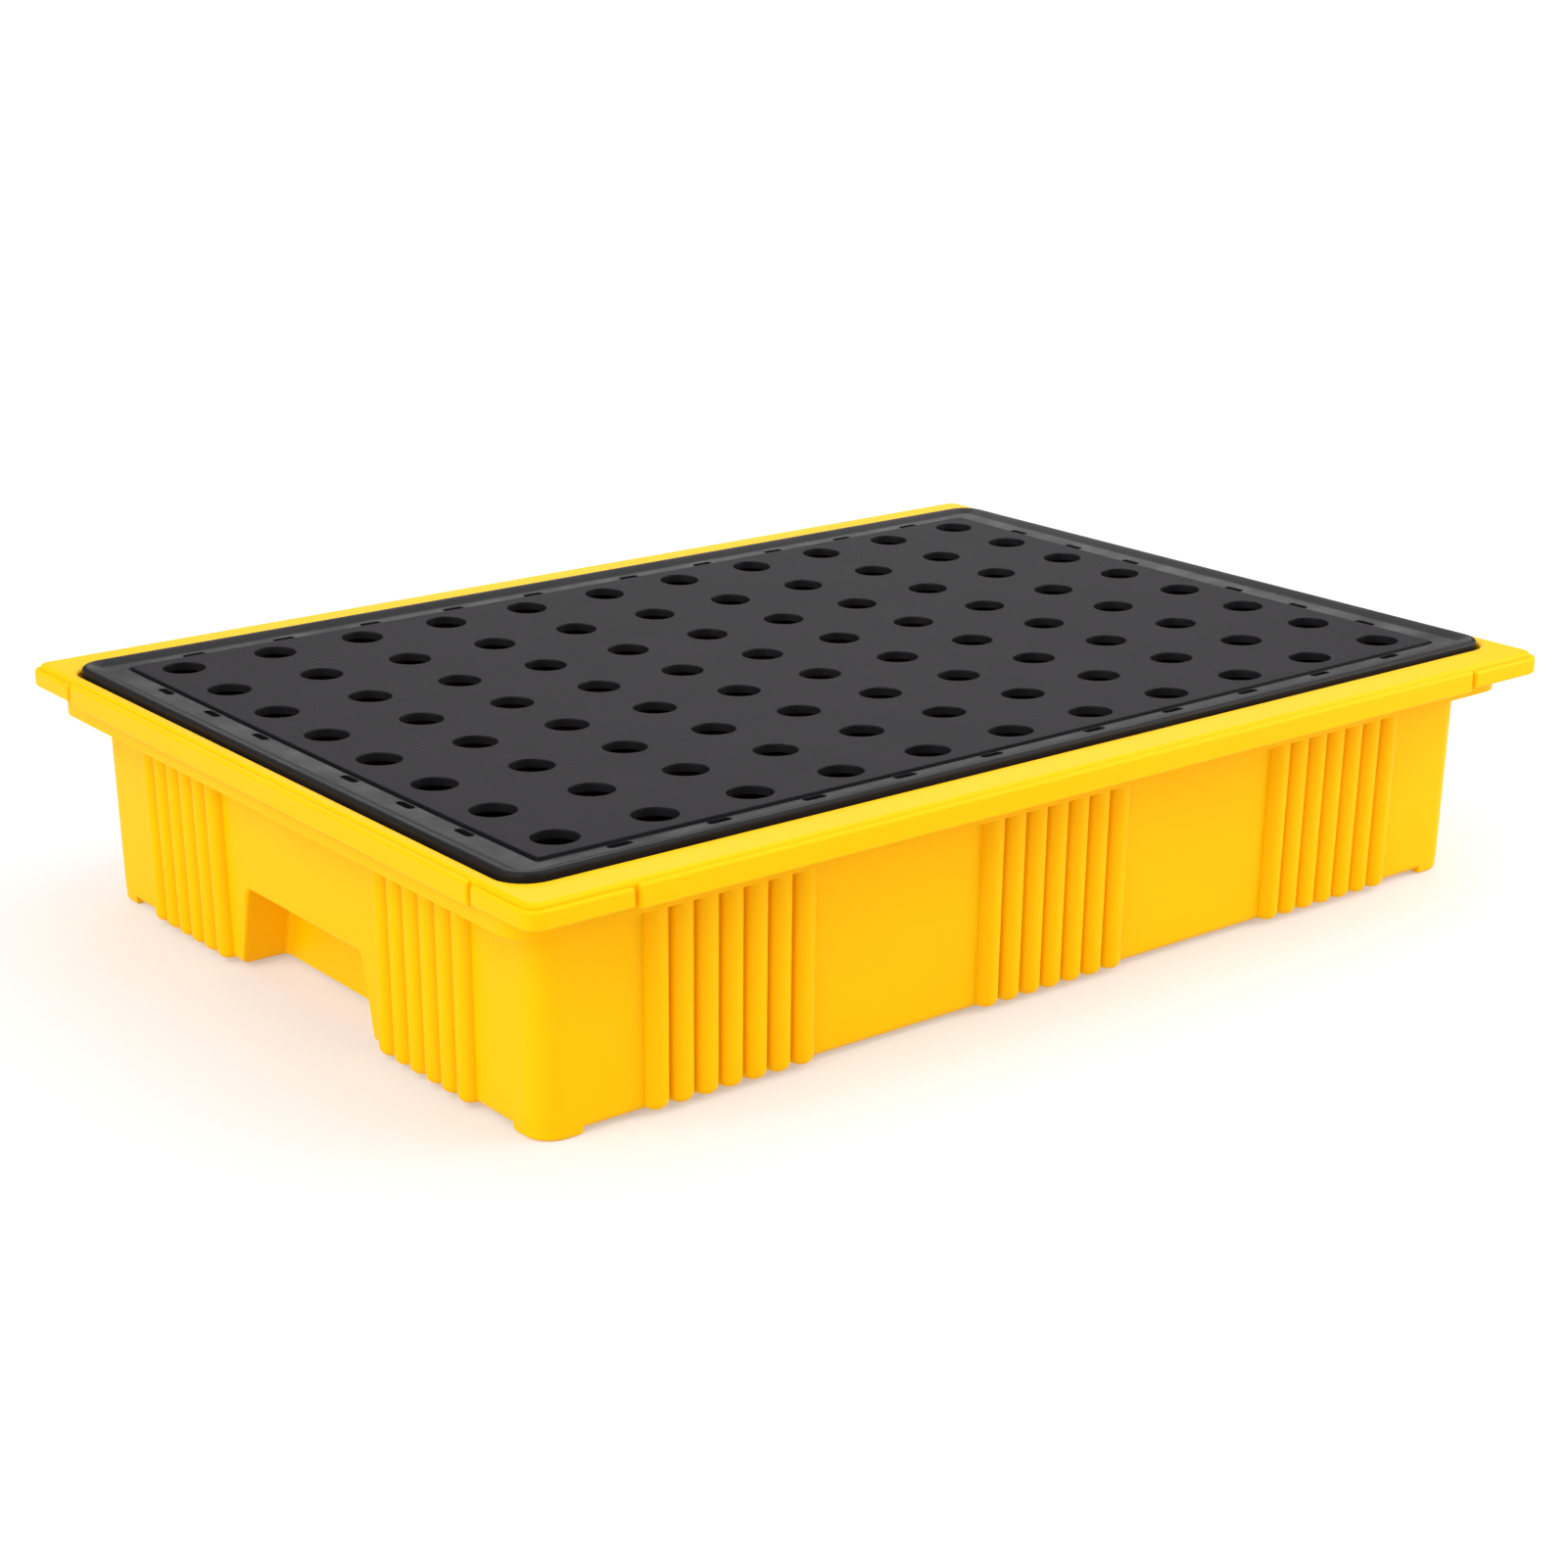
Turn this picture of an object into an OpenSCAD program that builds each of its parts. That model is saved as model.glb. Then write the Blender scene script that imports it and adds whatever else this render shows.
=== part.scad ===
// Low spill containment pallet: a moulded polyethylene sump tray, a
// perforated lift-off deck that drops into its rim, and loose support
// columns that carry the middle of the deck. Origin on the floor at the
// middle of the footprint, +X along the long side, +Z up.

/* [Sump walls] */
// Length over the plain sump walls
sump_l = 1195; // [960:1:1440]
// Width over the plain sump walls
sump_w = 824; // [680:1:990]
// Height from the floor to the deck's raised edge
overall_h = 258; // [216:1:320]
// Plan radius of the sump's vertical corners
sump_r = 28; // [16:1:50]
// Thickness of the moulded wall and floor
wall_t = 6; // [4:0.5:9]

/* [Corner feet] */
// How far the corner feet stand below the sump's underside
foot_h = 5; // [3:0.5:12]
// Side of each square corner foot
foot_l = 44; // [30:1:70]

/* [Wall ribs] */
// Radius of one half-round upright rib
rib_r = 13; // [8:0.5:13.5]
// Distance from one rib to the next in a group
rib_pitch = 27.5; // [27.5:0.5:34]
// Ribs in each of the three groups on a long side
ribs_long = 7; // [3:1:9]
// Ribs in each of the two groups on a short side
ribs_short = 6; // [3:1:6]
// From the end of the sump to the middle of an outer long-side group
rib_group_in_x = 204; // [150:1:260]
// From the side of the sump to the middle of a short-side group
rib_group_in_y = 182; // [150:1:190]
// Least gap between a short-side rib and the hand recess
rib_gap = 4; // [2:0.5:10]

/* [Hand recess] */
// Height of the recess under each short side, above the sump's underside
recess_h = 88; // [50:1:120]
// Width of the recess at its top
recess_top_w = 222; // [140:2:240]
// Width of the recess at the sump's underside
recess_foot_w = 262; // [180:2:270]
// Depth of the recess into the sump
recess_d = 53; // [25:1:80]

/* [Rim] */
// Reach of the rim beyond the sump wall on the short sides
rim_reach_x = 49; // [45:1:80]
// Reach of the rim beyond the sump wall on the long sides
rim_reach_y = 66; // [44:1:90]
// Plan radius of the rim's outer corners
rim_r = 18; // [16:1:60]
// Thickness of the flat flange
flange_t = 7; // [5:0.5:9]
// Thickness of the lip that hangs from the flange's edge
lip_t = 7; // [5:0.5:9]
// Height of the lip round the corners
lip_h = 16; // [12:1:20]
// Height of the lip along the straight sides
skirt_h = 26; // [21:1:32]
// Length of the low lip from a corner along a long side
lip_corner_x = 112; // [70:1:150]
// Length of the low lip from a corner along a short side
lip_corner_y = 96; // [70:1:120]
// Width of the upright notch where low and high lip meet
notch_w = 8; // [4:0.5:12]
// Depth of that notch into the lip
notch_d = 3.5; // [2:0.5:4.5]

/* [Deck seat] */
// Width of the seat ledge on the short sides
ledge_w_x = 34.5; // [24:0.5:36]
// Width of the seat ledge on the long sides
ledge_w_y = 21; // [16:0.5:28]
// Thickness of the seat ledge
ledge_t = 7; // [5:0.5:10]
// Reach of the seat's outer wall beyond the sump wall, short sides
seat_reach_x = 37; // [34:0.5:40]
// Reach of the seat's outer wall beyond the sump wall, long sides
seat_reach_y = 31; // [24:0.5:38]
// Gap between the deck and the rim, all round
deck_gap = 4; // [2:0.5:8]
// Clearance under the deck, above its seat and the columns
seat_gap = 0.3; // [0.2:0.1:1]

/* [Deck] */
// Height of the deck from its seat to its raised edge
deck_h = 42; // [30:1:60]
// How far the deck's raised edge stands above the flange
deck_proud = 6.5; // [4:0.5:16]
// Plan radius of the deck's corners
deck_r = 28; // [20:1:50]
// Width of the raised edge round the deck
edge_w = 8; // [6:0.5:12]
// Radius that rounds the top of that edge on its outside
edge_r = 4; // [2:0.5:5.5]
// How far the drum field lies below the raised edge
field_drop = 2; // [1:0.5:4]
// Depth of the gutter round the drum field, below the field
gutter_d = 2.5; // [1:0.5:4]
// Thickness of the deck's plate under the gutter
plate_t = 6; // [4:0.5:9]
// Thickness of the deck's outer wall
deck_wall_t = 6; // [4:0.5:9]
// Diameter of one drain hole
hole_d = 44; // [25:1:55]
// Drain hole spacing along the deck
hole_pitch_x = 106.5; // [88:0.5:130]
// Drain hole spacing across the deck
hole_pitch_y = 99; // [82:0.5:120]
// Least distance from a hole's axis to the deck's edge along the deck
hole_edge_x = 88; // [80:1:110]
// Least distance from a hole's axis to the deck's edge across the deck
hole_edge_y = 70; // [64:1:100]
// Thickness of the ribs under the top plate
deck_rib_t = 4; // [3:0.5:6]

/* [Drum field and weep slots] */
// From the deck's end to the drum field
field_in_x = 47; // [42:0.5:58]
// From the deck's side to the drum field
field_in_y = 39.5; // [32:0.5:46]
// Plan radius of the drum field's corners
field_r = 8; // [4:1:20]
// Length of one weep slot
slot_l = 26; // [14:1:40]
// Width of one weep slot
slot_w = 9; // [5:0.5:10]
// From the drum field's edge to the slot's middle line
slot_out = 10; // [8:0.5:13]
// From the middle of a long side to its first slot
slot_first_x = 67; // [40:1:90]
// Slot spacing along a long side
slot_pitch_x = 107.5; // [70:0.5:130]
// From the middle of a short side to its first slot
slot_first_y = 85; // [40:1:90]
// Slot spacing along a short side
slot_pitch_y = 99; // [70:0.5:120]

/* [Support columns] */
// Outside diameter of the pipe that a column is cut from
column_d = 90; // [63:1:100]
// Wall of that pipe
column_t = 5; // [3:0.5:8]
// From the inside of the end wall to the outer columns
column_in_x = 112; // [70:1:150]
// From the inside of the side wall to the columns
column_in_y = 204; // [120:1:240]
// Columns in each of the two rows
columns_per_row = 4; // [2:1:4]
// Height of the spigot on the floor that holds a column
spigot_h = 15; // [8:1:30]
// Clearance round a spigot inside its column
spigot_gap = 0.5; // [0.2:0.1:1.5]

/* [Hidden] */
$fn = 96;
cut = 1;

cavity_l = sump_l - 2 * wall_t;
cavity_w = sump_w - 2 * wall_t;
cavity_r = sump_r - wall_t;
pocket_l = cavity_l + 2 * ledge_w_x;
pocket_w = cavity_w + 2 * ledge_w_y;
pocket_r = deck_r + deck_gap;
seat_l = sump_l + 2 * seat_reach_x;
seat_w = sump_w + 2 * seat_reach_y;
seat_r = pocket_r + 4;
rim_l = sump_l + 2 * rim_reach_x;
rim_w = sump_w + 2 * rim_reach_y;
deck_l = pocket_l - 2 * deck_gap;
deck_w = pocket_w - 2 * deck_gap;

rib_group_x = sump_l / 2 - rib_group_in_x;
rib_group_y = max(sump_w / 2 - rib_group_in_y,
    recess_foot_w / 2 + rib_gap + rib_r + (ribs_short - 1) * rib_pitch / 2);

floor_z = foot_h + wall_t;
deck_z = overall_h - deck_h;
ledge_z = deck_z - seat_gap;
seat_z = ledge_z - ledge_t;
flange_z = overall_h - deck_proud;
field_z = overall_h - field_drop;
gutter_z = field_z - gutter_d;
plate_z = gutter_z - plate_t;

// How many holes or slots fit between a first place and a last one
function fitting(room, pitch) = floor(room / pitch + 0.001) + 1;
// Places of n equally spaced things about zero
function spread(n, pitch) = [for (i = [0 : n - 1]) (i - (n - 1) / 2) * pitch];
// Places of things that start at first each side of zero
function mirrored(first, pitch, n) = [for (s = [-1, 1], i = [0 : n - 1]) s * (first + i * pitch)];
// The rib crossing nearest to v, where n holes stand at this pitch
function crossing(v, n, pitch) = pitch * (round(v / pitch - (n % 2) / 2) + (n % 2) / 2);

holes_x = fitting(deck_l - 2 * hole_edge_x, hole_pitch_x);
holes_y = fitting(deck_w - 2 * hole_edge_y, hole_pitch_y);
field_l = deck_l - 2 * field_in_x;
field_w = deck_w - 2 * field_in_y;
slots_x = fitting(field_l / 2 - slot_first_x - slot_l, slot_pitch_x);
slots_y = fitting(field_w / 2 - slot_first_y - slot_l, slot_pitch_y);

column_x = cavity_l / 2 - column_in_x;
column_y = cavity_w / 2 - column_in_y;
column_places = [
    for (sy = [-1, 1], i = [0 : columns_per_row - 1])
        let (x = column_x * (2 * i / (columns_per_row - 1) - 1))
            [crossing(x, holes_x, hole_pitch_x), sy * crossing(column_y, holes_y, hole_pitch_y)]
];

// A rounded rectangle about the origin
module rounded(l, w, r) {
    square([l - 2 * r, w], center = true);
    square([l, w - 2 * r], center = true);
    for (x = [-1, 1], y = [-1, 1])
        translate([x * (l / 2 - r), y * (w / 2 - r)]) circle(r);
}

// A rounded rectangular block from z = low to z = high
module block(l, w, r, low, high) {
    translate([0, 0, low]) linear_extrude(high - low) rounded(l, w, r);
}

// What is cut away to round the top outer edge of a block to radius e
module edge_round(l, w, r, e, top) {
    module profile() {
        difference() {
            square([e + cut, e + cut]);
            circle(e);
        }
    }
    for (a = [0, 180]) rotate([0, 0, a]) {
        translate([0, w / 2 - e, top - e]) rotate([90, 0, 90])
            translate([0, 0, r - l / 2]) linear_extrude(l - 2 * r) profile();
        translate([l / 2 - e, 0, top - e]) rotate([90, 0, 0])
            translate([0, 0, r - w / 2]) linear_extrude(w - 2 * r) profile();
        translate([l / 2 - r, w / 2 - r, top - e]) rotate_extrude(angle = 90)
            translate([r - e, 0]) profile();
        translate([r - l / 2, w / 2 - r, top - e]) rotate([0, 0, 90]) rotate_extrude(angle = 90)
            translate([r - e, 0]) profile();
    }
}

// Children at every wall rib of the long sides and then the short sides
module at_wall_ribs() {
    for (g = [-1, 0, 1], s = [-1, 1], dx = spread(ribs_long, rib_pitch))
        translate([g * rib_group_x + dx, s * sump_w / 2, 0]) children();
    for (g = [-1, 1], s = [-1, 1], dy = spread(ribs_short, rib_pitch))
        translate([s * sump_l / 2, g * rib_group_y + dy, 0]) children();
}

// The trapezoidal hand recess at both ends, grown by g on every face
module hand_recesses(g) {
    for (a = [0, 180]) rotate([0, 0, a])
        translate([sump_l / 2 - recess_d - g, 0, foot_h]) rotate([90, 0, 90])
            linear_extrude(recess_d + g + rib_r + cut)
                polygon([
                    [-recess_foot_w / 2 - g, -cut], [recess_foot_w / 2 + g, -cut],
                    [recess_top_w / 2 + g, recess_h + g], [-recess_top_w / 2 - g, recess_h + g]
                ]);
}

module wall_and_feet() {
    block(sump_l, sump_w, sump_r, foot_h, ledge_z);
    at_wall_ribs() translate([0, 0, foot_h]) cylinder(r = rib_r, h = seat_z - foot_h);
    intersection() {
        block(sump_l, sump_w, sump_r, 0, foot_h + cut);
        for (x = [-1, 1], y = [-1, 1])
            translate([x * (sump_l - foot_l) / 2, y * (sump_w - foot_l) / 2, (foot_h + cut) / 2])
                cube([foot_l, foot_l, foot_h + cut], center = true);
    }
}

module rim() {
    block(seat_l, seat_w, seat_r, seat_z, flange_z);
    block(rim_l, rim_w, rim_r, flange_z - flange_t, flange_z);
    difference() {
        block(rim_l, rim_w, rim_r, flange_z - lip_h, flange_z);
        block(rim_l - 2 * lip_t, rim_w - 2 * lip_t, rim_r - lip_t, flange_z - lip_h - cut, flange_z + cut);
    }
    for (s = [-1, 1]) {
        translate([0, s * (rim_w - lip_t) / 2, flange_z - skirt_h / 2])
            cube([rim_l - 2 * lip_corner_x, lip_t, skirt_h], center = true);
        translate([s * (rim_l - lip_t) / 2, 0, flange_z - skirt_h / 2])
            cube([lip_t, rim_w - 2 * lip_corner_y, skirt_h], center = true);
    }
}

// The notches in the lip where its height changes
module rim_notches() {
    for (x = [-1, 1], y = [-1, 1]) {
        translate([x * (rim_l / 2 - lip_corner_x + notch_w / 2), y * rim_w / 2, flange_z - lip_h / 2])
            cube([notch_w, 2 * notch_d, lip_h + 2 * cut], center = true);
        translate([x * rim_l / 2, y * (rim_w / 2 - lip_corner_y + notch_w / 2), flange_z - lip_h / 2])
            cube([2 * notch_d, notch_w, lip_h + 2 * cut], center = true);
    }
}

module sump_tray() {
    color("gold") {
        difference() {
            union() {
                wall_and_feet();
                rim();
            }
            block(pocket_l, pocket_w, pocket_r, ledge_z, flange_z + cut);
            difference() {
                union() {
                    block(cavity_l, cavity_w, cavity_r, floor_z, ledge_z + cut);
                    at_wall_ribs() translate([0, 0, floor_z])
                        cylinder(r = rib_r - wall_t, h = seat_z - floor_z);
                }
                hand_recesses(wall_t);
            }
            hand_recesses(0);
            rim_notches();
        }
        for (p = column_places)
            translate([p[0], p[1], floor_z - cut])
                cylinder(d = column_d - 2 * column_t - 2 * spigot_gap, h = spigot_h + cut);
    }
}

module deck_ribs() {
    rib_h = plate_z + cut - deck_z;
    for (x = spread(holes_x - 1, hole_pitch_x))
        translate([x, 0, deck_z + rib_h / 2])
            cube([deck_rib_t, deck_w - 2 * cut, rib_h], center = true);
    for (y = spread(holes_y - 1, hole_pitch_y))
        translate([0, y, deck_z + rib_h / 2])
            cube([deck_l - 2 * cut, deck_rib_t, rib_h], center = true);
}

// One weep slot with round ends, through the gutter, lying along X
module weep_slot() {
    translate([0, 0, plate_z - cut]) linear_extrude(plate_t + 2 * cut) {
        square([slot_l - slot_w, slot_w], center = true);
        for (s = [-1, 1]) translate([s * (slot_l - slot_w) / 2, 0]) circle(d = slot_w);
    }
}

module deck_grate() {
    color([0.16, 0.16, 0.17]) difference() {
        union() {
            difference() {
                block(deck_l, deck_w, deck_r, deck_z, overall_h);
                block(deck_l - 2 * deck_wall_t, deck_w - 2 * deck_wall_t, deck_r - deck_wall_t,
                    deck_z - cut, plate_z);
            }
            deck_ribs();
        }
        edge_round(deck_l, deck_w, deck_r, edge_r, overall_h);
        difference() {
            block(deck_l - 2 * edge_w, deck_w - 2 * edge_w, deck_r - edge_w,
                gutter_z, overall_h + cut);
            block(field_l, field_w, field_r, gutter_z - cut, field_z);
        }
        for (x = spread(holes_x, hole_pitch_x), y = spread(holes_y, hole_pitch_y))
            translate([x, y, deck_z - cut]) cylinder(d = hole_d, h = deck_h + 2 * cut);
        for (x = mirrored(slot_first_x, slot_pitch_x, slots_x), s = [-1, 1])
            translate([x, s * (field_w / 2 + slot_out), 0]) weep_slot();
        for (y = mirrored(slot_first_y, slot_pitch_y, slots_y), s = [-1, 1])
            translate([s * (field_l / 2 + slot_out), y, 0]) rotate([0, 0, 90]) weep_slot();
    }
}

// A length of pipe that stands over its spigot and stops at the deck's seat
module support_column(place) {
    color([0.2, 0.2, 0.21]) translate([place[0], place[1], floor_z]) difference() {
        cylinder(d = column_d, h = ledge_z - floor_z);
        translate([0, 0, -cut])
            cylinder(d = column_d - 2 * column_t, h = ledge_z - floor_z + 2 * cut);
    }
}

sump_tray();
deck_grate();
for (i = [1 : 2 * columns_per_row])
    support_column(column_places[i - 1]);
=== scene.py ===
import math

import bpy
from mathutils import Matrix, Vector


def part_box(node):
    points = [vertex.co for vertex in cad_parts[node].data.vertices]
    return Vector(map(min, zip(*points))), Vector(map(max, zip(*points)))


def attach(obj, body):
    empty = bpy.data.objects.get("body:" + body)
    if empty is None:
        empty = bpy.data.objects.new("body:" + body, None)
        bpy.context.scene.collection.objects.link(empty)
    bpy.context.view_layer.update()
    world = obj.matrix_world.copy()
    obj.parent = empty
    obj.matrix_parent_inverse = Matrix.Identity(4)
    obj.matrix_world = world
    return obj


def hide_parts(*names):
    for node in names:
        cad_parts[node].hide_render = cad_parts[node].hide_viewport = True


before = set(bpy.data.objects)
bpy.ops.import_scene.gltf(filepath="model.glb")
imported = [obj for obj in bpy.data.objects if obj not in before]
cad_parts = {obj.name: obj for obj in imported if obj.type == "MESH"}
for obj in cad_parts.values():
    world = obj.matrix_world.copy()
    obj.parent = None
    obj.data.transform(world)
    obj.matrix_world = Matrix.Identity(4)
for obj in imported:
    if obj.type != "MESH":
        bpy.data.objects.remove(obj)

for leftover in ("Cube", "Light", "Camera"):
    if leftover in bpy.data.objects:
        bpy.data.objects.remove(bpy.data.objects[leftover])
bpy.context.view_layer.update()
tray_low, tray_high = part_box("sump_tray")
deck_low, deck_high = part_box("deck_grate")
MM = 0.001

# ---------------------------------------------------------------------------
# Sump tray: one hollow moulding in yellow polyethylene with half-round stiffening
# ribs pressed into its walls, a flat flange with a hanging lip, a ledge that seats
# the deck and a hand recess under each short side.
# ---------------------------------------------------------------------------
FLOOR_TOP = 11 * MM
UNDERSIDE = 5 * MM
SEAT_GAP = 0.3 * MM
LEDGE = deck_low.z - SEAT_GAP
FLANGE_TOP = tray_high.z
RIM = (tray_high.x - tray_low.x, tray_high.y - tray_low.y)
PLAY = 8 * MM
POCKET = (deck_high.x - deck_low.x + PLAY, deck_high.y - deck_low.y + PLAY)
WALL_TOP = (1198 * MM, 830 * MM)
WALL_FOOT = (1192 * MM, 819 * MM)
CAVITY = (1183 * MM, 812 * MM)
RIB_PITCH = 27.5 * MM
LONG_GROUP, SHORT_GROUP = 393.5 * MM, 230 * MM
LONG_RIBS = [g * LONG_GROUP + (i - 3) * RIB_PITCH for g in (-1, 0, 1) for i in range(7)]
SHORT_RIBS = [g * SHORT_GROUP + (i - 2.5) * RIB_PITCH for g in (-1, 1) for i in range(6)]


def outline(name, size, corner, z, rib=0, sink=0, long_ribs=(), short_ribs=(), rising=False):
    """Draw a rounded rectangle with one travelling vertex and fill it. Ribs are arcs on the way.

    The sides are drawn anticlockwise: each straight run is an extrude, each corner and rib a spin.
    The piece is left in edit mode with its one face selected, meant to look down unless it is to
    rise. The fill sometimes looks the other way: the seat and the cavity below say so."""
    bpy.ops.object.select_all(action="DESELECT")
    bpy.ops.mesh.primitive_plane_add(size=0.01, location=(0, 0, 0))
    piece = bpy.context.object
    piece.name = name
    bpy.ops.object.mode_set(mode="EDIT")
    bpy.ops.mesh.select_mode(type="VERT")
    bpy.ops.mesh.merge(type="CENTER")
    pen = Vector((-size[0] / 2 + corner, -size[1] / 2, z))
    bpy.ops.transform.translate(value=pen)
    half_chord = math.sqrt(max(rib * rib - sink * sink, 0))
    sweep = math.pi - 2 * math.asin(sink / rib) if rib else 0
    sides = [(size[0], size[1], long_ribs), (size[1], size[0], short_ribs)] * 2
    for quarter, (run, across, ribs) in enumerate(sides):
        turn = Matrix.Rotation(quarter * math.pi / 2, 4, "Z")
        for place in ribs:
            start = turn @ Vector((place - half_chord, -across / 2, z))
            bpy.ops.mesh.extrude_region_move(TRANSFORM_OT_translate={"value": start - pen})
            centre = turn @ Vector((place, -across / 2 + sink, z))
            bpy.ops.mesh.spin(steps=12, angle=-sweep, center=centre, axis=(0, 0, 1))
            pen = turn @ Vector((place + half_chord, -across / 2, z))
        start = turn @ Vector((run / 2 - corner, -across / 2, z))
        bpy.ops.mesh.extrude_region_move(TRANSFORM_OT_translate={"value": start - pen})
        centre = turn @ Vector((run / 2 - corner, -across / 2 + corner, z))
        bpy.ops.mesh.spin(steps=8, angle=-math.pi / 2, center=centre, axis=(0, 0, 1))
        pen = turn @ Vector((run / 2, -across / 2 + corner, z))
    bpy.ops.mesh.select_all(action="SELECT")
    bpy.ops.mesh.remove_doubles(threshold=1e-5)
    bpy.ops.mesh.edge_face_add()
    if rising:
        bpy.ops.mesh.flip_normals()
    return piece


def cap(test):
    """Select the faces of the piece being edited that pass a test on their middle and normal."""
    bpy.ops.object.mode_set(mode="OBJECT")
    mesh = bpy.context.object.data
    mesh.vertices.foreach_set("select", [False] * len(mesh.vertices))
    mesh.edges.foreach_set("select", [False] * len(mesh.edges))
    for face in mesh.polygons:
        face.select = test(face.center, face.normal)
    bpy.ops.object.mode_set(mode="EDIT")
    bpy.ops.mesh.select_mode(type="FACE")


def push(distance, scale=(1, 1)):
    """Extrude the selected cap straight up or down, and draw it in or out for mould draft."""
    bpy.ops.mesh.extrude_region_move(TRANSFORM_OT_translate={"value": (0, 0, distance)})
    bpy.ops.transform.resize(value=(scale[0], scale[1], 1))


def round_over(radius, steps=5, turn=90, hollow=False):
    """Turn the selected cap's edge over along an arc, by insets. A hollow arc starts flat."""
    for i in range(steps):
        a, b = (math.radians(turn * k / steps) for k in (i, i + 1))
        across, along = radius * (math.cos(a) - math.cos(b)), radius * (math.sin(b) - math.sin(a))
        if hollow:
            across, along = along, across
        bpy.ops.mesh.inset(thickness=across, depth=along, use_even_offset=True)


def close(piece):
    """Merge doubles, point every face outwards and leave edit mode."""
    bpy.ops.mesh.select_all(action="SELECT")
    bpy.ops.mesh.remove_doubles(threshold=1e-6)
    bpy.ops.mesh.normals_make_consistent(inside=False)
    bpy.ops.object.mode_set(mode="OBJECT")
    return piece


def combine(piece, tools, operation):
    """Join to the piece, or cut from it, each of the tools in turn."""
    bpy.ops.object.select_all(action="DESELECT")
    bpy.context.view_layer.objects.active = piece
    for tool in tools:
        step = piece.modifiers.new(operation.lower(), "BOOLEAN")
        step.operation, step.solver, step.object = operation, "EXACT", tool
        bpy.ops.object.modifier_apply(modifier=step.name)
        bpy.data.objects.remove(tool)
        bpy.ops.object.mode_set(mode="EDIT")
        bpy.ops.mesh.select_all(action="SELECT")
        bpy.ops.mesh.remove_doubles(threshold=2e-5)
        bpy.ops.object.mode_set(mode="OBJECT")
    return piece


# The outside of the walls with their ribs. Everything turns under at the foot.
TURN_UNDER = 9 * MM
DRAFT = (WALL_FOOT[0] / WALL_TOP[0], WALL_FOOT[1] / WALL_TOP[1])
walls_top = LEDGE - 2 * MM
tray = outline("sump_tray_moulding", WALL_TOP, 28 * MM, walls_top, rib=12.5 * MM, sink=1.5 * MM,
               long_ribs=LONG_RIBS, short_ribs=SHORT_RIBS)
push(UNDERSIDE + TURN_UNDER - walls_top, DRAFT)
round_over(TURN_UNDER)
bpy.ops.transform.resize(value=(1, 1, 0))
close(tray)

# The wall of the deck's seat, which shows as a thin step below the rim. Known fault: its cap
# looks up, so its foot turns up instead of down and ends 10 mm above SEAT_FOOT.
SEAT = (1269 * MM, 886 * MM)
SEAT_FOOT = LEDGE - 14 * MM
SEAT_TURN = 5 * MM
seat_top = FLANGE_TOP - 4 * MM
seat = outline("seat", SEAT, 36 * MM, seat_top)
push(SEAT_FOOT + SEAT_TURN - seat_top)
round_over(SEAT_TURN)
close(seat)

# The flat flange. Its edge rolls over, and it is hollow underneath, behind the lip.
LIP_FOOT = FLANGE_TOP - 23 * MM
SKIRT_FOOT = FLANGE_TOP - 26 * MM
FLANGE = (RIM[0] - 11 * MM, RIM[1] - 11 * MM)
FLANGE_TURN = 5 * MM
FLANGE_EDGE = 2.7 * MM
flange = outline("flange", FLANGE, 12.5 * MM, LIP_FOOT + MM, rising=True)
push(FLANGE_TOP - FLANGE_TURN - (LIP_FOOT + MM))
round_over(FLANGE_TURN)
close(flange)
under = outline("under_flange", (FLANGE[0] - 2 * FLANGE_EDGE, FLANGE[1] - 2 * FLANGE_EDGE),
                12.5 * MM - FLANGE_EDGE, LIP_FOOT - 4 * MM, rising=True)
push(20 * MM)
close(under)
combine(flange, [under], "DIFFERENCE")


def bar(name, low, high, edge, segments=3):
    """A straight block between two corners, with all its edges rounded."""
    bpy.ops.object.select_all(action="DESELECT")
    bpy.ops.mesh.primitive_cube_add(size=1, location=(Vector(low) + Vector(high)) / 2)
    piece = bpy.context.object
    piece.name = name
    piece.scale = Vector(high) - Vector(low)
    bpy.ops.object.transform_apply(location=True, rotation=True, scale=True)
    if edge:
        bpy.ops.object.mode_set(mode="EDIT")
        bpy.ops.mesh.select_all(action="SELECT")
        bpy.ops.mesh.bevel(offset=edge, segments=segments, affect="EDGES")
        bpy.ops.object.mode_set(mode="OBJECT")
    return piece


# The rolled lip: one round each corner, and a slightly deeper skirt along each straight side,
# with an upright notch between the two.
ROLL = 8.5 * MM
ROLL_TOP = FLANGE_TOP - 3 * MM
ROLL_EDGE = 3 * MM
NOTCH = 5 * MM
CORNER_RUN = (112 * MM, 96 * MM)
corner_roll = outline("corner_roll", RIM, 18 * MM, LIP_FOOT, rising=True)
push(ROLL_TOP - 2 * MM - LIP_FOOT)
close(corner_roll)
inside = outline("inside_roll", (RIM[0] - 2 * ROLL, RIM[1] - 2 * ROLL), 11 * MM, LIP_FOOT - 5 * MM,
                 rising=True)
push(30 * MM)
close(inside)
reach = RIM[0] / 2 - CORNER_RUN[0] + NOTCH
long_gap = bar("long_gap", (-reach, -0.6, 0.2), (reach, 0.6, 0.3), 0)
reach = RIM[1] / 2 - CORNER_RUN[1] + NOTCH
short_gap = bar("short_gap", (-0.8, -reach, 0.2), (0.8, reach, 0.3), 0)
combine(corner_roll, [inside, long_gap, short_gap], "DIFFERENCE")
rounding = corner_roll.modifiers.new("rounding", "BEVEL")
rounding.width, rounding.segments = ROLL_EDGE, 3
rounding.limit_method, rounding.angle_limit = "ANGLE", math.radians(50)
bpy.ops.object.modifier_apply(modifier=rounding.name)
skirts = []
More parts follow.
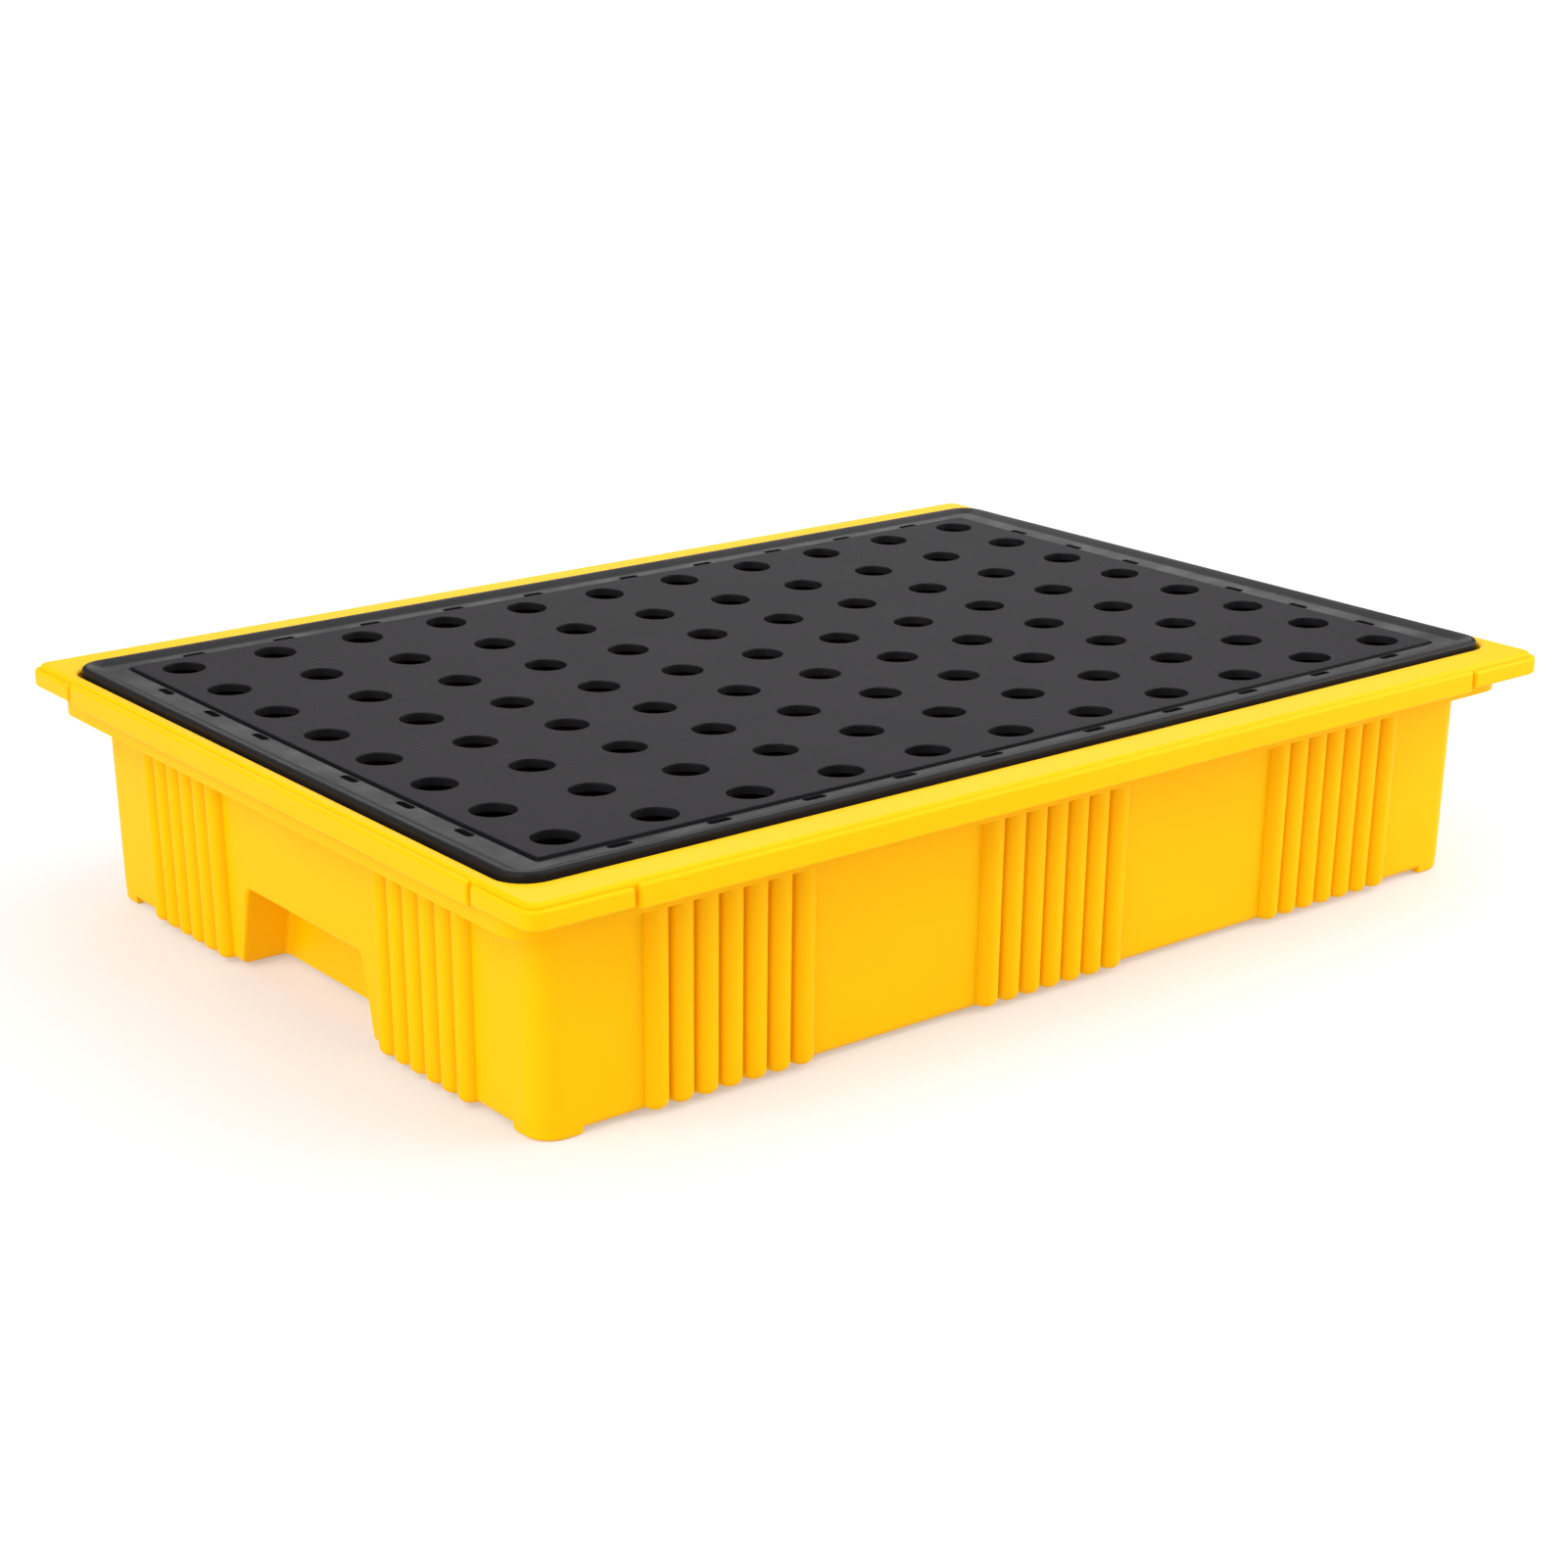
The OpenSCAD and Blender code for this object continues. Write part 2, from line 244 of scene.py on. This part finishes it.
for side in (-1, 1):
    reach = RIM[0] / 2 - CORNER_RUN[0]
    ends = sorted((side * RIM[1] / 2, side * (RIM[1] / 2 - ROLL)))
    skirts.append(bar("skirt", (-reach, ends[0], SKIRT_FOOT), (reach, ends[1], ROLL_TOP), ROLL_EDGE))
    reach = RIM[1] / 2 - CORNER_RUN[1]
    ends = sorted((side * RIM[0] / 2, side * (RIM[0] / 2 - ROLL)))
    skirts.append(bar("skirt", (ends[0], -reach, SKIRT_FOOT), (ends[1], reach, ROLL_TOP), ROLL_EDGE))

# A foot under each corner, flush with the walls.
FOOT = 44 * MM
feet = []
for side_x in (-1, 1):
    for side_y in (-1, 1):
        far = (side_x * (WALL_FOOT[0] / 2 - 0.4 * MM), side_y * (WALL_FOOT[1] / 2 - 0.4 * MM))
        near = (far[0] - side_x * FOOT, far[1] - side_y * FOOT)
        low = (min(far[0], near[0]), min(far[1], near[1]), 0)
        high = (max(far[0], near[0]), max(far[1], near[1]), 24 * MM)
        foot = bar("foot", low, high, 0)
        for edge in foot.data.edges:
            ends = [foot.data.vertices[v].co for v in edge.vertices]
            middle = (ends[0] + ends[1]) / 2
            upright = abs(ends[0].z - ends[1].z) > 10 * MM
            edge.select = upright and (middle.xy - Vector(far)).length < MM
        for part in (foot.data.vertices, foot.data.polygons):
            part.foreach_set("select", [False] * len(part))
        bpy.ops.object.mode_set(mode="EDIT")
        bpy.ops.mesh.select_mode(type="EDGE")
        bpy.ops.mesh.bevel(offset=28 * MM, segments=8, affect="EDGES")
        cap(lambda middle, normal: normal.z < -0.9)
        bpy.ops.mesh.bevel(offset=5 * MM, segments=4, affect="EDGES")
        feet.append(close(foot))
combine(tray, [seat, flange], "UNION")

# The deck's pocket. The flange's inner edge rolls down into it.
ROLL_IN = 4 * MM
pocket = outline("pocket", (POCKET[0] + 2 * ROLL_IN, POCKET[1] + 2 * ROLL_IN), 36 * MM,
                 FLANGE_TOP + 6 * MM)
push(-6.1 * MM)
round_over(ROLL_IN, hollow=True)
push(LEDGE - (FLANGE_TOP - 0.1 * MM - ROLL_IN))
close(pocket)

# The inside of the sump, with a flute behind every rib. Known fault: its cap looks up, so the
# cove at the floor's edge turns up instead of down. The floor ends at 27 mm and not at FLOOR_TOP,
# which hides the spigots and buries the lowest 16 mm of each column.
COVE = 8 * MM
cavity = outline("cavity", CAVITY, 22 * MM, LEDGE + 3 * MM, rib=11.5 * MM, sink=2 * MM,
                 long_ribs=LONG_RIBS, short_ribs=SHORT_RIBS)
push(FLOOR_TOP + COVE - (LEDGE + 3 * MM), DRAFT)
round_over(COVE, steps=4)
bpy.ops.transform.resize(value=(1, 1, 0))
close(cavity)


def trace(name, points, facing):
    """Draw a closed shape through points with one travelling vertex, and fill it to face one way."""
    bpy.ops.object.select_all(action="DESELECT")
    bpy.ops.mesh.primitive_plane_add(size=0.01, location=(0, 0, 0))
    piece = bpy.context.object
    piece.name = name
    bpy.ops.object.mode_set(mode="EDIT")
    bpy.ops.mesh.select_mode(type="VERT")
    bpy.ops.mesh.merge(type="CENTER")
    bpy.ops.transform.translate(value=points[0])
    for start, end in zip(points, points[1:] + points[:1]):
        step = Vector(end) - Vector(start)
        bpy.ops.mesh.extrude_region_move(TRANSFORM_OT_translate={"value": step})
    bpy.ops.mesh.select_all(action="SELECT")
    bpy.ops.mesh.remove_doubles(threshold=1e-5)
    bpy.ops.mesh.edge_face_add()
    bpy.ops.object.mode_set(mode="OBJECT")
    flip = piece.data.polygons[0].normal.dot(Vector(facing)) < 0
    bpy.ops.object.mode_set(mode="EDIT")
    if flip:
        bpy.ops.mesh.flip_normals()
    return piece


def arc(centre, radius, first, last, steps):
    """Points on an arc in the upright plane across the pallet, as (y, z) pairs."""
    angles = [math.radians(first + (last - first) * i / steps) for i in range(steps + 1)]
    return [(centre[0] + radius * math.cos(a), centre[1] + radius * math.sin(a)) for a in angles]


def turned(piece, name):
    """A copy of a piece for the other end of the pallet, half a turn round."""
    twin = piece.copy()
    twin.data = piece.data.copy()
    twin.name = name
    bpy.context.collection.objects.link(twin)
    twin.rotation_euler.z = math.pi
    bpy.ops.object.select_all(action="DESELECT")
    twin.select_set(True)
    bpy.context.view_layer.objects.active = twin
    bpy.ops.object.transform_apply(location=True, rotation=True, scale=True)
    return twin


# The hand recess: wider at the foot, with a rolled mouth, turned-out feet and a soft back.
MOUTH_X = -597 * MM
MOUTH_ROLL, BACK_ROLL = 4 * MM, 6 * MM
RECESS_BACK_X = MOUTH_X + 53 * MM
BEYOND = 20 * MM
half = [(165 * MM, -30 * MM), (165 * MM, 3 * MM)]
half += arc((142.6 * MM, 17 * MM), 12 * MM, 262, 192.5, 5)
half += arc((103.4 * MM, 83 * MM), 12 * MM, 12.5, 90, 5)
whole = half + [(-y, z) for y, z in reversed(half)]
recess = trace("recess", [(MOUTH_X - BEYOND, y, z) for y, z in whole], (1, 0, 0))
bpy.ops.mesh.extrude_region_move(TRANSFORM_OT_translate={"value": (BEYOND, 0, 0)})
round_over(MOUTH_ROLL, steps=4, hollow=True)
straight = RECESS_BACK_X - BACK_ROLL - (MOUTH_X + MOUTH_ROLL)
bpy.ops.mesh.extrude_region_move(TRANSFORM_OT_translate={"value": (straight, 0, 0)})
round_over(BACK_ROLL, steps=4)
close(recess)
recesses = [recess, turned(recess, "recess_right")]

# Its own wall, which stands in the sump behind it.
behind = [(139 * MM, -8 * MM), (118 * MM, 100 * MM), (-118 * MM, 100 * MM), (-139 * MM, -8 * MM)]
bulge = trace("bulge", [(MOUTH_X - 30 * MM, y, z) for y, z in behind], (1, 0, 0))
bpy.ops.mesh.extrude_region_move(TRANSFORM_OT_translate={"value": (90.5 * MM, 0, 0)})
cap(lambda middle, normal: normal.x > 0.9 or normal.z > 0.9)
bpy.ops.mesh.bevel(offset=8 * MM, segments=4, affect="EDGES")
close(bulge)
bulges = [bulge, turned(bulge, "bulge_right")]

# A low round spigot for each support column. The floor's fault hides them.
SPIGOT = 39.5 * MM
columns = [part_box(f"support_column_{i}") for i in range(1, 9)]
spigots = []
for low, high in columns:
    bpy.ops.object.select_all(action="DESELECT")
    middle = ((low.x + high.x) / 2, (low.y + high.y) / 2, FLOOR_TOP + 5.5 * MM)
    bpy.ops.mesh.primitive_cylinder_add(vertices=48, radius=SPIGOT, depth=19 * MM, location=middle)
    spigot = bpy.context.object
    bpy.ops.object.transform_apply(location=True, rotation=True, scale=True)
    bpy.ops.object.mode_set(mode="EDIT")
    cap(lambda middle, normal: normal.z > 0.9)
    bpy.ops.mesh.bevel(offset=3 * MM, segments=3, affect="EDGES")
    spigots.append(close(spigot))
combine(cavity, bulges + spigots, "DIFFERENCE")
combine(tray, [pocket, cavity] + recesses, "DIFFERENCE")

# The lip and the feet are closed shapes that run a little way into the walls they grow from.
bpy.ops.object.select_all(action="DESELECT")
for part in [corner_roll] + skirts + feet + [tray]:
    part.select_set(True)
bpy.context.view_layer.objects.active = tray
bpy.ops.object.join()


def finish(piece, angle=36):
    """Smooth the soft turns, keep the hard edges, and let the broad faces carry the shading."""
    bpy.ops.object.select_all(action="DESELECT")
    piece.select_set(True)
    bpy.context.view_layer.objects.active = piece
    bpy.ops.object.mode_set(mode="EDIT")
    bpy.ops.mesh.select_all(action="SELECT")
    bpy.ops.mesh.dissolve_degenerate(threshold=2e-5)
    bpy.ops.object.mode_set(mode="OBJECT")
    bpy.ops.object.shade_smooth_by_angle(angle=math.radians(angle))
    weighted = piece.modifiers.new("weighted", "WEIGHTED_NORMAL")
    weighted.keep_sharp = True
    bpy.ops.object.modifier_apply(modifier=weighted.name)


finish(tray)


def linear(code):
    """An sRGB hex colour as linear red, green, blue and one."""
    parts = [int(code[i:i + 2], 16) / 255 for i in (1, 3, 5)]
    return [c / 12.92 if c <= 0.04045 else ((c + 0.055) / 1.055) ** 2.4 for c in parts] + [1]


def start(name, ior, roughness):
    """A new material: its node tree and its shader."""
    material = bpy.data.materials.new(name)
    material.use_nodes = True
    tree = material.node_tree
    shader = next(n for n in tree.nodes if n.type == "BSDF_PRINCIPLED")
    shader.inputs["IOR"].default_value = ior
    shader.inputs["Roughness"].default_value = roughness
    return material, tree, shader


def add(tree, kind, settings=(), values=(), links=()):
    """Add a node with its settings, its sockets' values and its incoming links."""
    node = tree.nodes.new(kind)
    for key, value in dict(settings).items():
        setattr(node, key, value)
    for key, value in dict(values).items():
        node.inputs[key].default_value = value
    for key, source in dict(links).items():
        tree.links.new(source, node.inputs[key])
    return node


# Moulded polyethylene: a satin skin with a faint orange peel about 4 mm across, slow drifts of
# tone where the wall cooled unevenly, and a fine frosting that takes most of the gloss away.
yellow, tree, shader = start("moulded_polyethylene_yellow", 1.51, 0.42)
shader.inputs["Specular IOR Level"].default_value = 0.05
place = add(tree, "ShaderNodeTexCoord").outputs["Object"]
drift = add(tree, "ShaderNodeTexNoise", values={"Scale": 1 / 0.16, "Detail": 3, "Roughness": 0.5},
            links={"Vector": place})
tone = add(tree, "ShaderNodeMix", {"data_type": "RGBA"}, links={"Factor": drift.outputs["Fac"]})
tone.inputs["A"].default_value = linear("#F4B400")
tone.inputs["B"].default_value = linear("#F8BC01")
tree.links.new(tone.outputs["Result"], shader.inputs["Base Color"])
frost = add(tree, "ShaderNodeTexNoise", values={"Scale": 1 / 0.0022, "Detail": 2, "Roughness": 0.6},
            links={"Vector": place})
sheen = add(tree, "ShaderNodeMapRange",
            values={"From Min": 0.3, "From Max": 0.7, "To Min": 0.34, "To Max": 0.48},
            links={"Value": frost.outputs["Fac"]})
tree.links.new(sheen.outputs["Result"], shader.inputs["Roughness"])
peel = add(tree, "ShaderNodeTexNoise", values={"Scale": 1 / 0.004, "Detail": 2, "Roughness": 0.5},
           links={"Vector": place})
skin = add(tree, "ShaderNodeBump", values={"Strength": 0.12, "Distance": 0.0004},
           links={"Height": peel.outputs["Fac"]})
tree.links.new(skin.outputs["Normal"], shader.inputs["Normal"])
tray.data.materials.clear()
tray.data.materials.append(yellow)
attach(tray, "sump")
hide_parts("sump_tray")

# ---------------------------------------------------------------------------
# Support columns: eight lengths of black polyethylene pipe, 90 mm across with a
# 5 mm wall, sawn square, dressed at the ends and stood loose over the spigots.
# ---------------------------------------------------------------------------
PIPE = (columns[0][1].x - columns[0][0].x) / 2
PIPE_WALL = 5 * MM
pipe_height = columns[0][1].z - columns[0][0].z
bpy.ops.object.select_all(action="DESELECT")
bpy.ops.mesh.primitive_cylinder_add(vertices=64, radius=PIPE, depth=pipe_height,
                                    location=(0, 0, (columns[0][0].z + columns[0][1].z) / 2))
first_pipe = bpy.context.object
bpy.ops.object.transform_apply(location=True, rotation=True, scale=True)
bpy.ops.object.mode_set(mode="EDIT")
cap(lambda middle, normal: abs(normal.z) > 0.9)
bpy.ops.mesh.inset(thickness=PIPE_WALL)
bpy.ops.mesh.bridge_edge_loops()
close(first_pipe)
dressing = first_pipe.modifiers.new("dressing", "BEVEL")
dressing.width, dressing.segments = 0.8 * MM, 2
dressing.limit_method, dressing.angle_limit = "ANGLE", math.radians(50)
bpy.ops.object.modifier_apply(modifier=dressing.name)
finish(first_pipe)

# Extruded pipe: a satin black with faint draw lines along its length and dull sawn ends.
pipe_black, tree, shader = start("extruded_polyethylene_black", 1.51, 0.38)
place = add(tree, "ShaderNodeTexCoord").outputs["Object"]
drawn = add(tree, "ShaderNodeMapping", links={"Vector": place}, values={"Scale": (1, 1, 0.03)})
lines = add(tree, "ShaderNodeTexNoise", values={"Scale": 1 / 0.003, "Detail": 2, "Roughness": 0.5},
            links={"Vector": drawn.outputs["Vector"]})
tone = add(tree, "ShaderNodeMix", {"data_type": "RGBA"}, links={"Factor": lines.outputs["Fac"]})
tone.inputs["A"].default_value = linear("#1C1C1E")
tone.inputs["B"].default_value = linear("#29292B")
tree.links.new(tone.outputs["Result"], shader.inputs["Base Color"])
sheen = add(tree, "ShaderNodeMapRange",
            values={"From Min": 0.3, "From Max": 0.7, "To Min": 0.3, "To Max": 0.48},
            links={"Value": lines.outputs["Fac"]})
tree.links.new(sheen.outputs["Result"], shader.inputs["Roughness"])
groove = add(tree, "ShaderNodeBump", values={"Strength": 0.2, "Distance": 0.0003},
             links={"Height": lines.outputs["Fac"]})
tree.links.new(groove.outputs["Normal"], shader.inputs["Normal"])
first_pipe.data.materials.append(pipe_black)


def moved(piece, name, x, y):
    """A copy of a piece with its own mesh, set down somewhere else."""
    twin = piece.copy()
    twin.data = piece.data.copy()
    twin.name = name
    bpy.context.collection.objects.link(twin)
    twin.location = (x, y, 0)
    bpy.ops.object.select_all(action="DESELECT")
    twin.select_set(True)
    bpy.context.view_layer.objects.active = twin
    bpy.ops.object.transform_apply(location=True, rotation=True, scale=True)
    return twin


for number, (low, high) in enumerate(columns, 1):
    pipe = moved(first_pipe, f"support_pipe_{number}", (low.x + high.x) / 2, (low.y + high.y) / 2)
    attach(pipe, "sump")
    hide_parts(f"support_column_{number}")
bpy.data.objects.remove(first_pipe)

# ---------------------------------------------------------------------------
# Deck: one lift-off moulding in black polyethylene. It has a rounded edge, a gutter
# with weep slots, a drum field with 88 drain holes that sags a little with use, and
# a grid of thin ribs underneath.
# ---------------------------------------------------------------------------
DECK = (deck_high.x - deck_low.x, deck_high.y - deck_low.y)
DECK_FOOT = deck_low.z
CREST = deck_high.z
FIELD_TOP = CREST - 2 * MM
GUTTER = FIELD_TOP - 2.5 * MM
PLATE_UNDER = GUTTER - 6 * MM
FIELD = (1150 * MM, 767 * MM)
HOLE_PITCH = (106.5 * MM, 99 * MM)
HOLES = (11, 8)
HOLE_MM = 22
SAG = 12 * MM
deck = outline("deck_grate_moulding", DECK, 28 * MM, DECK_FOOT, rising=True)
push(CREST - 4 * MM - DECK_FOOT)
round_over(4 * MM, steps=4)
bpy.ops.mesh.inset(thickness=1.5 * MM)
for across, along in ((2, -0.3), (5, -1.6), (5, -1.9), (2.5, -0.7)):
    bpy.ops.mesh.inset(thickness=across * MM, depth=along * MM)
BORDER = 20 * MM
GROOVE = 8.4 * MM
last = [side - 2 * BORDER - MM for side in DECK]
bpy.ops.mesh.inset(thickness=0.5 * MM)
bpy.ops.transform.resize(value=((FIELD[0] + GROOVE) / last[0], (FIELD[1] + GROOVE) / last[1], 1))
for across, along in ((0.8, -1.5), (2.2, 0), (0.5, 3.4), (0.7, 0.6)):
    bpy.ops.mesh.inset(thickness=across * MM, depth=along * MM)
close(deck)


def repeated(piece, count, step):
    """Repeat a piece in a row, as part of the same mesh."""
    row = piece.modifiers.new("row", "ARRAY")
    row.use_relative_offset, row.use_constant_offset = False, True
    row.count, row.constant_offset_displace = count, step
    bpy.context.view_layer.objects.active = piece
    bpy.ops.object.modifier_apply(modifier=row.name)
    return piece


# The hollow under the plate, left standing between the ribs.
hollow = outline("hollow", (DECK[0] - 12 * MM, DECK[1] - 12 * MM), 22 * MM, DECK_FOOT - 2 * MM,
                 rising=True)
push(PLATE_UNDER - DECK_FOOT + 2 * MM)
close(hollow)
across_ribs = bar("across_ribs", (-481.25 * MM, -0.45, 0.21), (-477.25 * MM, 0.45, 0.26), 0)
repeated(across_ribs, HOLES[0] - 1, (HOLE_PITCH[0], 0, 0))
along_ribs = bar("along_ribs", (-0.65, -299 * MM, 0.209), (0.65, -295 * MM, 0.261), 0)
repeated(along_ribs, HOLES[1] - 1, (0, HOLE_PITCH[1], 0))
combine(hollow, [across_ribs, along_ribs], "DIFFERENCE")

# The drain holes: a drill with a flared collar rounds the top of each.
bpy.ops.object.select_all(action="DESELECT")
bpy.ops.mesh.primitive_circle_add(vertices=32, radius=HOLE_MM * MM, fill_type="NGON",
                                  location=(-(HOLES[0] - 1) / 2 * HOLE_PITCH[0],
                                            -(HOLES[1] - 1) / 2 * HOLE_PITCH[1], 0.24))
drill = bpy.context.object
bpy.ops.object.transform_apply(location=True, rotation=True, scale=True)
bpy.ops.object.mode_set(mode="EDIT")
bpy.ops.mesh.select_all(action="SELECT")
push(13.6 * MM)
wide = HOLE_MM
for along, wider in ((1.5, 22.08), (0.55, 22.3), (0.27, 22.7), (0.18, 23.3)):
    push(along * MM, (wider / wide, wider / wide))
    wide = wider
push(6 * MM)
close(drill)
repeated(drill, HOLES[0], (HOLE_PITCH[0], 0, 0))
repeated(drill, HOLES[1], (0, HOLE_PITCH[1], 0))

# The weep slots in the gutter, ten along each long side and six along each short one.
slots = []
SLOT = (26 * MM, 9 * MM)
SLOT_OUT = 10 * MM
long_side = [(s * (67 + 107.5 * i) * MM, e * (FIELD[1] / 2 + SLOT_OUT))
             for i in range(5) for s in (-1, 1) for e in (-1, 1)]
short_side = [(e * (FIELD[0] / 2 + SLOT_OUT), s * (85 + 99 * i) * MM)
              for i in range(3) for s in (-1, 1) for e in (-1, 1)]
for size, places in ((SLOT, long_side), (SLOT[::-1], short_side)):
    first_slot = outline("slot", size, 4.4 * MM, 0.24, rising=True)
    push(20 * MM)
    close(first_slot)
    slots += [moved(first_slot, "slot", x, y) for x, y in places]
    bpy.data.objects.remove(first_slot)
bpy.ops.object.select_all(action="DESELECT")
for slot in slots:
    slot.select_set(True)
bpy.context.view_layer.objects.active = slots[0]
bpy.ops.object.join()
combine(deck, [hollow, drill, slots[0]], "DIFFERENCE")

# The sag: the plate is scored between and through the holes so that it can bend.
bpy.context.view_layer.objects.active = deck
deck.select_set(True)
bpy.ops.object.mode_set(mode="EDIT")
for i in range(-10, 11):
    bpy.ops.mesh.select_all(action="SELECT")
    bpy.ops.mesh.bisect(plane_co=(i * HOLE_PITCH[0] / 2, 0, 0), plane_no=(1, 0, 0))
for i in range(-7, 8):
    bpy.ops.mesh.select_all(action="SELECT")
    bpy.ops.mesh.bisect(plane_co=(0, i * HOLE_PITCH[1] / 2, 0), plane_no=(0, 1, 0))
bpy.ops.object.mode_set(mode="OBJECT")
for vertex in deck.data.vertices:
    x, y, z = vertex.co
    if z > 0.24:
        vertex.co.z = z - SAG * (1 - (2 * x / DECK[0]) ** 2) * (1 - (2 * y / DECK[1]) ** 2)
finish(deck)

# Moulded polyethylene again. The drum field has a moulded non-slip grain, which makes it a dull
# dark grey. The grain is really about 1 mm across and is drawn at 2.5 mm so that it shows.
grained, tree, shader = start("moulded_polyethylene_black_grained", 1.51, 0.6)
shader.inputs["Specular IOR Level"].default_value = 0.07
place = add(tree, "ShaderNodeTexCoord").outputs["Object"]
drift = add(tree, "ShaderNodeTexNoise", values={"Scale": 1 / 0.12, "Detail": 4, "Roughness": 0.6},
            links={"Vector": place})
tone = add(tree, "ShaderNodeMix", {"data_type": "RGBA"}, links={"Factor": drift.outputs["Fac"]})
tone.inputs["A"].default_value = linear("#201E20")
tone.inputs["B"].default_value = linear("#272527")
tree.links.new(tone.outputs["Result"], shader.inputs["Base Color"])
grain = add(tree, "ShaderNodeTexVoronoi", values={"Scale": 1 / 0.0025}, links={"Vector": place})
pebble = add(tree, "ShaderNodeBump", values={"Strength": 0.5, "Distance": 0.0005},
             links={"Height": grain.outputs["Distance"]})
tree.links.new(pebble.outputs["Normal"], shader.inputs["Normal"])

# The border was polished in the mould, so it stays black and takes a soft gloss.
polished, tree, shader = start("moulded_polyethylene_black_polished", 1.51, 0.4)
shader.inputs["Specular IOR Level"].default_value = 0.1
place = add(tree, "ShaderNodeTexCoord").outputs["Object"]
drift = add(tree, "ShaderNodeTexNoise", values={"Scale": 1 / 0.05, "Detail": 3, "Roughness": 0.5},
            links={"Vector": place})
tone = add(tree, "ShaderNodeMix", {"data_type": "RGBA"}, links={"Factor": drift.outputs["Fac"]})
tone.inputs["A"].default_value = linear("#171618")
tone.inputs["B"].default_value = linear("#1D1C1E")
tree.links.new(tone.outputs["Result"], shader.inputs["Base Color"])
sheen = add(tree, "ShaderNodeMapRange",
            values={"From Min": 0.3, "From Max": 0.7, "To Min": 0.32, "To Max": 0.46},
            links={"Value": drift.outputs["Fac"]})
tree.links.new(sheen.outputs["Result"], shader.inputs["Roughness"])
peel = add(tree, "ShaderNodeTexNoise", values={"Scale": 1 / 0.003, "Detail": 2, "Roughness": 0.5},
           links={"Vector": place})
skin = add(tree, "ShaderNodeBump", values={"Strength": 0.12, "Distance": 0.0004},
           links={"Height": peel.outputs["Fac"]})
tree.links.new(skin.outputs["Normal"], shader.inputs["Normal"])
deck.data.materials.clear()
deck.data.materials.append(polished)
deck.data.materials.append(grained)
for face in deck.data.polygons:
    inside = abs(face.center.x) < FIELD[0] / 2 and abs(face.center.y) < FIELD[1] / 2
    face.material_index = 1 if inside and face.center.z > 0.24 and face.normal.z > 0.5 else 0
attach(deck, "deck")
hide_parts("deck_grate")

# ---------------------------------------------------------------------------
# Studio: a plain pale floor that glows a little, three wide panels of soft light,
# a soft box to the right and one behind, and a surround that is dim near the floor.
# ---------------------------------------------------------------------------
bpy.ops.object.select_all(action="DESELECT")
bpy.ops.mesh.primitive_plane_add(size=80, location=(0, 0, 0))
floor = bpy.context.object
floor.name = "studio_floor"
matt_grey, tree, shader = start("matt_pale_grey_paint", 1.45, 0.9)
shader.inputs["Base Color"].default_value = linear("#C4C4C4")
shader.inputs["Specular IOR Level"].default_value = 0.05
shader.inputs["Emission Color"].default_value = linear("#FFFFFF")
shader.inputs["Emission Strength"].default_value = 0.3
floor.data.materials.append(matt_grey)


def soft_box(name, place, aim, size, power):
    """A large area light that looks at a point on the pallet."""
    lamp = bpy.data.objects.new(name, bpy.data.lights.new(name, "AREA"))
    lamp.data.shape, lamp.data.size, lamp.data.size_y = "RECTANGLE", size[0], size[1]
    lamp.data.energy = power
    lamp.location = place
    lamp.rotation_euler = (Vector(aim) - Vector(place)).to_track_quat("-Z", "Y").to_euler()
    bpy.context.collection.objects.link(lamp)
    return lamp


def sky_panel(name, toward, strength, spread):
    """Soft light from one side of the sky, as even over the floor as a wide bank of lamps."""
    lamp = bpy.data.objects.new(name, bpy.data.lights.new(name, "SUN"))
    lamp.data.energy, lamp.data.angle = strength, math.radians(spread)
    lamp.rotation_euler = Vector(toward).to_track_quat("Z", "Y").to_euler()
    bpy.context.collection.objects.link(lamp)
    return lamp


sky_panel("left_panel", (-0.88, -0.15, 0.42), 2.6, 70)
sky_panel("right_panel", (0.82, -0.45, 0.36), 1.8, 70)
sky_panel("top_panel", (0.2, 0.1, 1.0), 1.5, 90)
soft_box("right_soft_box", (2.5, -2.0, 0.8), (0.7, -0.3, 0.12), (1.4, 1.2), 26)
soft_box("back_soft_box", (2.9, 3.7, 1.95), (0, 0, 0.25), (3.7, 1.0), 30)
world = bpy.data.worlds.new("studio")
world.use_nodes = True
surround = world.node_tree.nodes["Background"]
surround.inputs["Color"].default_value = (1, 1, 1, 1)
sky = add(world.node_tree, "ShaderNodeTexCoord").outputs["Generated"]
height = add(world.node_tree, "ShaderNodeSeparateXYZ", links={"Vector": sky})
dimmer = add(world.node_tree, "ShaderNodeMapRange",
             values={"From Min": 0.1, "From Max": 0.6, "To Min": 0.1, "To Max": 0.5},
             links={"Value": height.outputs["Z"]})
world.node_tree.links.new(dimmer.outputs["Result"], surround.inputs["Strength"])
bpy.context.scene.world = world
bpy.context.scene.view_settings.view_transform = "Standard"

camera = bpy.data.objects.new("camera", bpy.data.cameras.new("camera"))
camera.data.lens, camera.data.sensor_width = 67.63, 36
camera.location = (-1.866, -2.3724, 1.080)
camera.rotation_euler = (math.radians(90 - 17.82), 0, math.radians(-38.05))
bpy.context.collection.objects.link(camera)
bpy.context.scene.camera = camera
